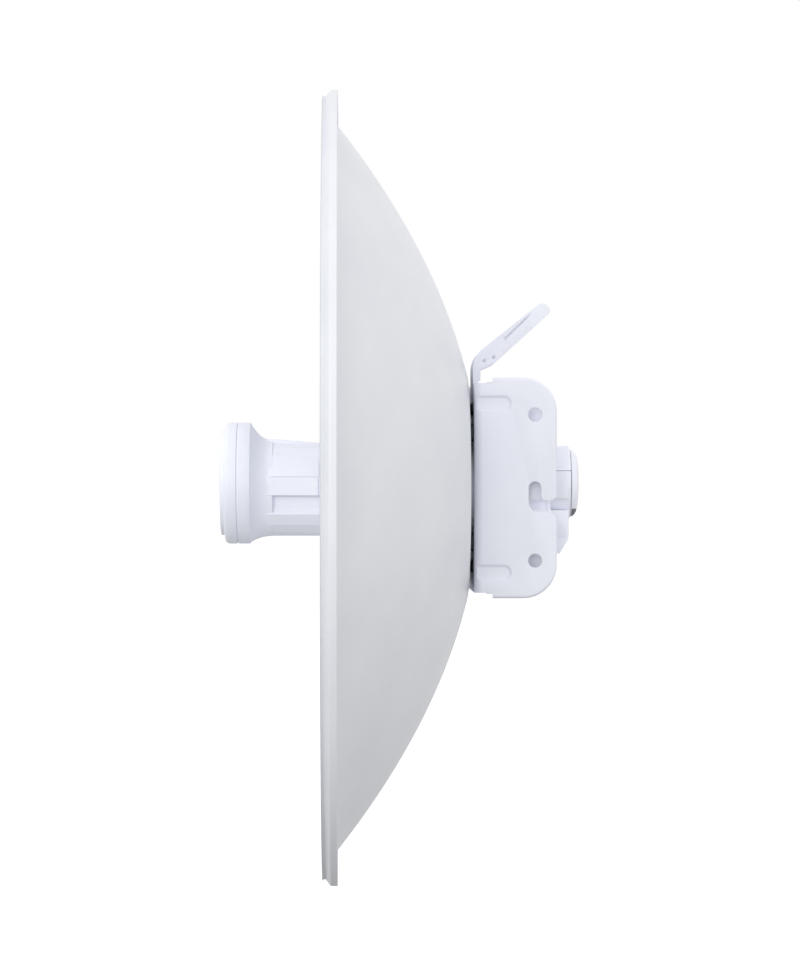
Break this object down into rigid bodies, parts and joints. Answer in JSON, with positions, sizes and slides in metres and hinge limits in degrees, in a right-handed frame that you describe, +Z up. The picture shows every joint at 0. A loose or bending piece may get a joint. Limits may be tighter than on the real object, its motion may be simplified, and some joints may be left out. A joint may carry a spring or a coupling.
{
  "type": "parabolic dish antenna",
  "caption": "Round parabolic dish antenna with the radio inside a slide-in feed, a rear housing and a bent-sheet bracket with hook slots, tilt-bolt holes and a hanging loop.",
  "frame": {"origin": "centre of the hook seat at the top of the two hook slots, midway between the flanges and level with the dish axis", "axes": "the dish looks along -Y, its thin direction is Y; +X is across the flanges, along the hook bolts; +Z is up"},
  "size_m": [0.42, 0.1894, 0.42],
  "materials": {
    "dish_coat": "pressed aluminium sheet, fine white powder coat",
    "bracket_coat": "bent steel sheet, white powder coat",
    "black_steel": "black-passivated",
    "stainless": "stainless steel, bright",
    "spring_steel": "drawn wire",
    "tinned_steel": "tinned sheet",
    "white_plastic": "moulded, UV-stable, satin",
    "black_plastic": "moulded, matt",
    "clear_plastic": "clear acrylic",
    "black_rubber": "matt",
    "grey_rubber": "matt silicone",
    "circuit_board": "solder mask over glass fibre",
    "bare_aluminium": "machined"
  },
  "bodies": {
    "root": {"dish_reflector": "dish_coat", "mounting_bracket": "bracket_coat", "standoff_spacers": "black_plastic", "bracket_screws": "stainless", "bracket_lock_washers": "stainless", "bracket_nuts": "stainless", "housing_screws": "black_steel", "rear_housing": "white_plastic", "housing_back": "white_plastic", "feed_sleeve": "white_plastic", "cable_bay_tray": "white_plastic", "cable_grommet": "black_rubber", "feed_collar": "white_plastic", "collar_gasket": "black_rubber", "latch_spring": "spring_steel"},
    "feed": {"reflector_cap": "white_plastic", "subreflector_disc": "bare_aluminium", "feed_head_base": "white_plastic", "feed_upper_shell": "white_plastic", "feed_lower_shell": "white_plastic", "feed_rear_barrel": "white_plastic", "feed_rear_cap": "white_plastic", "vent_seal": "grey_rubber", "led_light_guide": "clear_plastic", "feed_o_ring": "black_rubber", "radio_board": "circuit_board", "shield_can": "tinned_steel", "thermal_pad": "grey_rubber", "heat_spreader": "bare_aluminium", "feed_element": "circuit_board", "ethernet_jack": "black_plastic", "feed_screws": "stainless", "reset_switch": "black_plastic"},
    "reset": {"reset_button": "white_plastic"},
    "release": {"release_slider": "white_plastic"},
    "latch": {"latch_plate": "white_plastic"},
    "cover": {"port_cover": "white_plastic"}
  },
  "joints": [
    {"name": "feed_slide", "type": "slide", "parent": "root", "child": "feed", "axis": [0, -1, 0], "range_m": [0, 0.08]},
    {"name": "release_pull", "type": "slide", "parent": "root", "child": "release", "axis": [0, 1, 0], "range_m": [0, 0.0035], "stiffness_N_per_m": 400, "springref_m": -0.003},
    {"name": "latch_lift", "type": "slide", "parent": "root", "child": "latch", "axis": [0, 0, 1], "range_m": [0, 0.0018], "deforming": ["latch_spring"]},
    {"name": "port_cover_slide", "type": "slide", "parent": "root", "child": "cover", "axis": [0, 0, -1], "range_m": [0, 0.03]},
    {"name": "reset_press", "type": "slide", "parent": "feed", "child": "reset", "axis": [0, 0, 1], "range_m": [0, 0.0003], "stiffness_N_per_m": 800, "springref_m": -0.0004}
  ],
  "couplings": [
    {"joint": "latch_lift", "follows": "release_pull", "ratio": 0.5}
  ]
}
